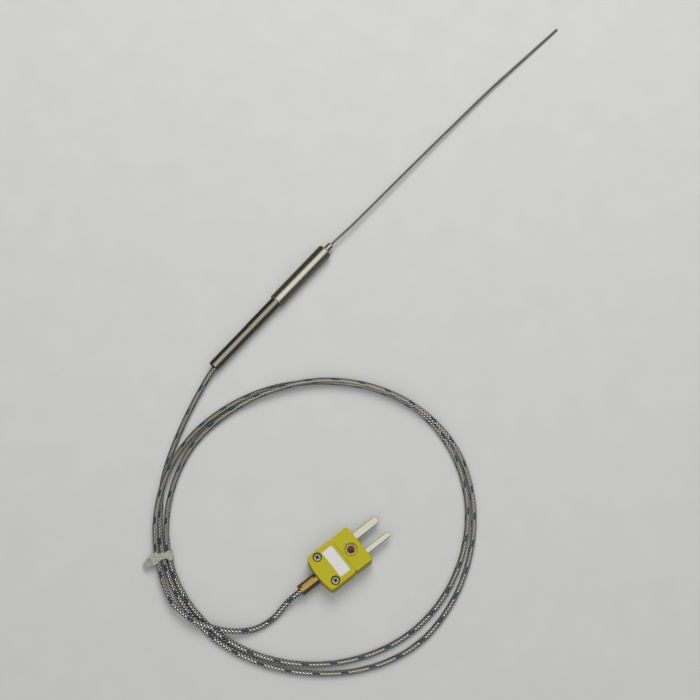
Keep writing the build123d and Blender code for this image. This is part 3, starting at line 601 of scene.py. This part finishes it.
# %% [markdown]
# ## Winding it
# The lay is the length in which a carrier goes once round the lead: 11.5 mm on a lead of
# 2.4 mm. Two neighbouring carriers are the blue yarn, which gives one blue mark in each lay.
# The steel ones of each hand are split in two pieces, so that no piece is too heavy a mesh.
# Each result is copied to a plain mesh, and the modifier and its helper attribute are removed.

# %% Wind the braid
LAY = 11.5 * MM
STEPS_IN_A_LAY = 24
CARRIERS = 8                     # each way
WEAVE = 0.75 * WIRE_D            # a little more than carriers need to clear each other
BRAID_R = LEAD_D / 2 - WEAVE - WIRE_D / 2
braid_inputs = {
    "Section": section, "Radius": BRAID_R, "Weave height": WEAVE, "Lay": LAY,
    "Steps in a turn": STEPS_IN_A_LAY, "Carriers each way": CARRIERS,
}


def face_outwards(mesh):
    """Turns a closed mesh's faces to point outwards."""
    work = bmesh.new()
    work.from_mesh(mesh)
    if work.calc_volume(signed=True) < 0:
        bmesh.ops.reverse_faces(work, faces=work.faces)
        work.to_mesh(mesh)
    work.free()


def wind(name, first, count, hand, finish):
    """Winds some carriers of one hand round the lead, as one plain mesh."""
    start = bpy.data.objects.new(name, path_mesh.copy())
    bpy.context.scene.collection.objects.link(start)
    modifier = start.modifiers.new("braid", "NODES")
    modifier.node_group = BRAID
    own = {"First carrier": first, "Carriers here": count, "Hand": float(hand), "Finish": finish}
    for socket in BRAID.interface.items_tree:
        if socket.in_out == "INPUT" and socket.name != "Path":
            modifier[socket.identifier] = {**braid_inputs, **own}[socket.name]
    bpy.context.view_layer.update()
    ready = start.evaluated_get(bpy.context.evaluated_depsgraph_get())
    mesh = bpy.data.meshes.new_from_object(ready)
    start.modifiers.remove(modifier)
    start.data = mesh
    start.data.materials.clear()
    start.data.materials.append(finish)
    mesh.attributes.remove(mesh.attributes["outward"])
    face_outwards(mesh)
    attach(start, "root")
    print(name, len(mesh.polygons), "faces")
    return start


braid = [
    wind("lead_tracer", 0, 2, 1, tracer_yarn),
    wind("lead_braid_right_1", 2, 3, 1, braid_steel),
    wind("lead_braid_right_2", 5, 3, 1, braid_steel),
    wind("lead_braid_left_1", 0, 4, -1, braid_steel),
    wind("lead_braid_left_2", 4, 4, -1, braid_steel),
]
bpy.data.objects.remove(section)

# %% [markdown]
# ## The core
# The curve that gave the braid its path now becomes the core. It fills the braid and a little
# more, because the wires press into the glass, so no gap shows between a wire and the core.

# %% Core under the braid
PRESSED = 0.06 * MM              # how far the wires press into the core
CORE_R = BRAID_R - WEAVE - WIRE_D / 2 + PRESSED
lead.data.bevel_depth = CORE_R
lead.data.bevel_resolution = 4
lead.data.resolution_u = 12
lead.data.use_fill_caps = True
lead.data.materials.append(core_glass)
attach(lead, "root")
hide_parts("lead_pot_side", "lead_plug_side", "lead_coil")
print("core radius", round(CORE_R / MM, 3), "mm")

# %% [markdown]
# ## The tie
# The coil is held by a strip of thin milky plastic, wrapped once round the three strands and
# twisted, with its tail sticking outwards. It is blown polythene film, which is smooth, lets
# some light through and scatters the rest, so it looks milky. A strip is a path with a
# width, so each row of the list gives a point of its path, its width there and its roll.

# %% The tie's film and path
milky_film = matte(
    "Milky polythene film", (1.2, 1.2, 1.2), ("#9EA195", "#B8BAB1"), (0.3, 0.42), 0.02,
    {"Transmission Weight": 0.25, "IOR": 1.5})
TIE_CENTRE_R = 65.9 * MM


def tie_point(out, along, up_mm):
    """Row position of a point given outwards, along the lead and up from the bench, in mm."""
    angle = radians(TIE_ANGLE)
    away_from_centre = Vector((cos(angle), sin(angle), 0))
    along_lead = Vector((-sin(angle), cos(angle), 0))
    base = COIL_CENTRE + away_from_centre * (TIE_CENTRE_R + out * MM) + along_lead * along * MM
    return base + Vector((0, 0, BENCH_Z + up_mm * MM))


# outwards, along, up, width, roll in degrees: from the tail's end, over the strands and round
TIE_PATH = [
    (8.3, 2.3, 1.7, 2.6, 12), (7.3, 2.0, 2.0, 3.0, 15), (6.2, 1.5, 2.6, 3.4, 12),
    (5.0, 1.2, 3.3, 4.0, 6), (3.6, 0.9, 3.95, 4.7, 0), (2.3, 0.6, 4.1, 4.5, 0),
    (1.0, 0.3, 3.6, 3.2, 0), (-0.2, 0.15, 3.25, 2.5, 0), (-1.6, 0.2, 3.2, 3.0, 0),
    (-3.0, 0.4, 3.15, 4.1, 0), (-4.1, 0.6, 2.5, 4.7, 0), (-4.4, 0.6, 1.4, 4.6, 0),
    (-3.8, 0.5, 0.4, 3.8, 0), (-2.0, 0.3, 0.13, 3.3, 0), (0.0, 0.2, 0.12, 3.3, 0),
    (2.0, 0.3, 0.13, 3.3, 0), (3.5, 0.5, 0.4, 3.4, 0), (4.1, 0.7, 1.6, 3.4, 0),
    (3.9, 0.9, 3.0, 3.2, 0),
]
print(len(TIE_PATH), "points on the tie's path")

# %% [markdown]
# ## The tie's strip
# The strip is rows of points across a smooth curve through the path. The curve's slope turns
# each row square to the strip. Pleats run along it and a little noise crumples it, fully
# where it stands free above the strands and less where it is pressed between them and the
# bench. A cloth simulation could fold it too, but a path puts it where the real strip lies.

# %% The tie's strip
TIE_ROWS = 13                    # points across the strip
TIE_STEPS = 4                    # rows between two points of the path
PLEATS = 3                       # waves across the strip
PLEAT_DRIFT = 5                  # how far they wander along it, in radians
PLEAT_MM = 0.16
PLEAT_PRESSED = 0.4              # share of their height that is left on the bench
CRUMPLE_MM = 0.55
CRUMPLES_ALONG = 22              # spans of the noise along the strip, and across it
CRUMPLES_ACROSS = 5
CRUMPLE_PLACE = 3.7              # which slice of the noise is used
PRESSED_BELOW_MM = 0.4
FREE_ABOVE_MM = 3.0
FILM_LOWEST_MM = 0.07            # the strip's middle never comes lower than this


def catmull(p0, p1, p2, p3, t):
    """Value of a smooth curve through p1 and p2."""
    return 0.5 * (2 * p1 + (p2 - p0) * t + (2 * p0 - 5 * p1 + 4 * p2 - p3) * t ** 2
                  + (3 * p1 - p0 - 3 * p2 + p3) * t ** 3)


def catmull_slope(p0, p1, p2, p3, t):
    """Slope of the same curve."""
    return 0.5 * ((p2 - p0) + 2 * (2 * p0 - 5 * p1 + 4 * p2 - p3) * t
                  + 3 * (3 * p1 - p0 - 3 * p2 + p3) * t ** 2)


def tie_row(work, at, slope, share):
    """One row of points across the strip, pleated and crumpled towards its outer side."""
    out, along, height, width, roll = at
    run = Vector(slope[:3]).normalized()
    across = Vector((0, 1, 0)) - run * run.y
    across.normalize()
    face = across.cross(run)
    turned = across * cos(radians(roll)) + face * sin(radians(roll))
    face = turned.cross(run)
    row = []
    for j in range(TIE_ROWS):
        v = j / (TIE_ROWS - 1) - 0.5
        wave = PLEAT_MM * cos(v * 2 * PLEATS * pi + PLEAT_DRIFT * share)
        stands = min(height / FREE_ABOVE_MM, 1.0)
        pleat = wave * (PLEAT_PRESSED + (1 - PLEAT_PRESSED) * stands)
        crumple = CRUMPLE_MM * noise.noise(Vector((
            share * CRUMPLES_ALONG, v * CRUMPLES_ACROSS, CRUMPLE_PLACE)))
        free = max(height - PRESSED_BELOW_MM, 0) / (FREE_ABOVE_MM - PRESSED_BELOW_MM)
        point = Vector((out, along, height)) + turned * v * width
        point = point + face * (pleat + crumple * min(free, 1.0))
        point.z = max(point.z, FILM_LOWEST_MM)
        row.append(work.verts.new(tie_point(*point)))
    return row


def tie_mesh():
    """Film strip along its path, one row of points at a time."""
    work = bmesh.new()
    rows = []
    last = len(TIE_PATH) - 1
    row_count = last * TIE_STEPS + 1
    for k in range(row_count):
        i = min(k // TIE_STEPS, last - 1)
        share = k / TIE_STEPS - i
        near = [TIE_PATH[max(i - 1, 0)], TIE_PATH[i], TIE_PATH[i + 1], TIE_PATH[min(i + 2, last)]]
        at = [catmull(*four, share) for four in zip(*near)]
        slope = [catmull_slope(*four, share) for four in zip(*near)]
        rows.append(tie_row(work, at, slope, k / row_count))
    for row, following in zip(rows, rows[1:]):
        for corners in zip(row, row[1:], following[1:], following):
            work.faces.new(corners)
    mesh = bpy.data.meshes.new("coil_tie_film")
    work.to_mesh(mesh)
    work.free()
    return mesh


strip = tie_mesh()
print("tie strip", len(strip.polygons), "faces")

# %% [markdown]
# ## The tie's thickness
# A strip of faces has no thickness. Solidify gives it the film's own, and one level of
# Subdivision Surface makes its folds soft. It stands for the plain solid that the CAD model
# has there, and rides on the body that the coil is on.

# %% The tie's thickness
FILM = 0.12 * MM
tie = bpy.data.objects.new("coil_tie_film", strip)
bpy.context.scene.collection.objects.link(tie)
tie.data.materials.append(milky_film)
tie.data.polygons.foreach_set("use_smooth", [True] * len(tie.data.polygons))
thick = tie.modifiers.new("film thickness", "SOLIDIFY")
thick.thickness = FILM
thick.offset = 0.0
soft = tie.modifiers.new("soft folds", "SUBSURF")
soft.levels = 1
soft.render_levels = 1
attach(tie, "root")
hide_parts("coil_tie")
print("tie", round(FILM / MM, 2), "mm thick")

# %% [markdown]
# ## What is on the lead
# A list names the parts of the whole plug, which sits on the lead's end.

ON_THE_LEAD = [
    "plug_base", "plug_lid", "label_insert", "eyelet", "cover_screw_left", "cover_screw_right",
    "crimp_barrel", "crimp_sleeve",
]
for stem in ("contact_blade", "clamp_washer", "terminal_screw", "plug_core", "plug_sleeving"):
    ON_THE_LEAD += [stem + "_positive", stem + "_negative"]

# %% [markdown]
# ## The bench
# The bench is pale grey card with a barely visible grain. Round steel shows the room like a
# mirror, so the card is kept out of reflections, as dark boards round a studio table would do.

# %% Bench
bpy.context.scene.view_settings.view_transform = "Standard"
card = matte(
    "Pale grey card", (14, 14, 14), ("#BBBCBE", "#BEBFC0"), (0.8, 0.9), 0.01,
    {"Specular IOR Level": 0.2})
BENCH_HALF = 1.2
BENCH_GAP = 0.01 * MM            # keeps the card's face just off the plug's underside
bench_mesh = bpy.data.meshes.new("bench")
corners = [(-BENCH_HALF, -BENCH_HALF), (BENCH_HALF, -BENCH_HALF),
           (BENCH_HALF, BENCH_HALF), (-BENCH_HALF, BENCH_HALF)]
bench_mesh.from_pydata([(x, y, BENCH_Z - BENCH_GAP) for x, y in corners], [], [(0, 1, 2, 3)])
bench = bpy.data.objects.new("bench", bench_mesh)
bpy.context.scene.collection.objects.link(bench)
bench.data.materials.append(card)
bench.visible_glossy = False
print("bench", 2 * BENCH_HALF, "m across")

# %% [markdown]
# ## The lamp
# One big soft lamp leans 32 degrees towards the top of the view, so each piece has a short
# soft shadow below it. It is kept out of reflections too: the room alone makes those.

# %% Lamp
LAMP_AWAY = 0.8
LAMP_SIZE = 0.6
LAMP_LEAN = radians(32)
LAMP_WATTS = 4.5


def soft_lamp(name, direction, distance, size, watts, colour):
    """Round area lamp that looks at the object from a direction."""
    data = bpy.data.lights.new(name, "AREA")
    data.shape = "DISK"
    data.size = size
    data.energy = watts
    data.color = linear(colour)[:3]
    lamp = bpy.data.objects.new(name, data)
    bpy.context.scene.collection.objects.link(lamp)
    lamp.location = LOOK_AT + direction.normalized() * distance
    lamp.rotation_mode = "QUATERNION"
    lamp.rotation_quaternion = direction.to_track_quat("Z", "Y")
    return lamp


lean = view_up + view_right * 0.1
overhead = Vector((0, 0, cos(LAMP_LEAN))) + lean.normalized() * sin(LAMP_LEAN)
softbox = soft_lamp("overhead softbox", overhead, LAMP_AWAY, LAMP_SIZE, LAMP_WATTS, "#FFFDF6")
softbox.visible_glossy = False
print("lamp at", [round(c, 3) for c in softbox.location])

# %% [markdown]
# ## The room
# Polished steel is only as bright as what it sees. A white ceiling round one direction gives
# each round piece one bright band, and the dim room beside it gives the dark flanks. Two paler
# end walls and a grey floor are out of that band, and keep the steel from going black when it
# is looked at from low down or from behind.

# %% Room
ROOM_STRENGTH = 1.25
CEILING = [(0.0, "#3D3C36"), (0.65, "#46453F"), (0.79, "#F3F4F4"), (1.0, "#FFFFFF")]
world = bpy.data.worlds.new("room")
bpy.context.scene.world = world
world.use_nodes = True
room = world.node_tree
place = add(room, "ShaderNodeTexCoord")
height = add(room, "ShaderNodeVectorMath", {
    0: place.outputs["Generated"], 1: away}, operation="DOT_PRODUCT")
ceiling = add(room, "ShaderNodeValToRGB", {"Fac": height.outputs["Value"]})
ceiling.color_ramp.elements[0].color = linear(CEILING[0][1])
ceiling.color_ramp.elements[1].color = linear(CEILING[-1][1])
for position, colour in CEILING[1:-1]:
    ceiling.color_ramp.elements.new(position).color = linear(colour)
axes = add(room, "ShaderNodeSeparateXYZ", {0: place.outputs["Generated"]})
sideways = add(room, "ShaderNodeMath", {0: axes.outputs["X"]}, operation="ABSOLUTE")
# what is measured, where the surface begins, where it is whole, and its colour
SURFACES = [
    (sideways.outputs[0], 0.52, 0.75, "#9C9B94"),
    (axes.outputs["Z"], -0.05, -0.2, "#605F58"),
]
seen = ceiling.outputs["Color"]
for measure, begins, whole, colour in SURFACES:
    share = add(room, "ShaderNodeMapRange", {
        "Value": measure, "From Min": begins, "From Max": whole})
    seen = add(room, "ShaderNodeMix", {0: share.outputs["Result"], 6: seen, 7: linear(colour)},
               data_type="RGBA", blend_type="LIGHTEN").outputs[2]
background = room.nodes["Background"]
room.links.new(seen, background.inputs["Color"])
background.inputs["Strength"].default_value = ROOM_STRENGTH
print(len(room.nodes), "nodes in the room")
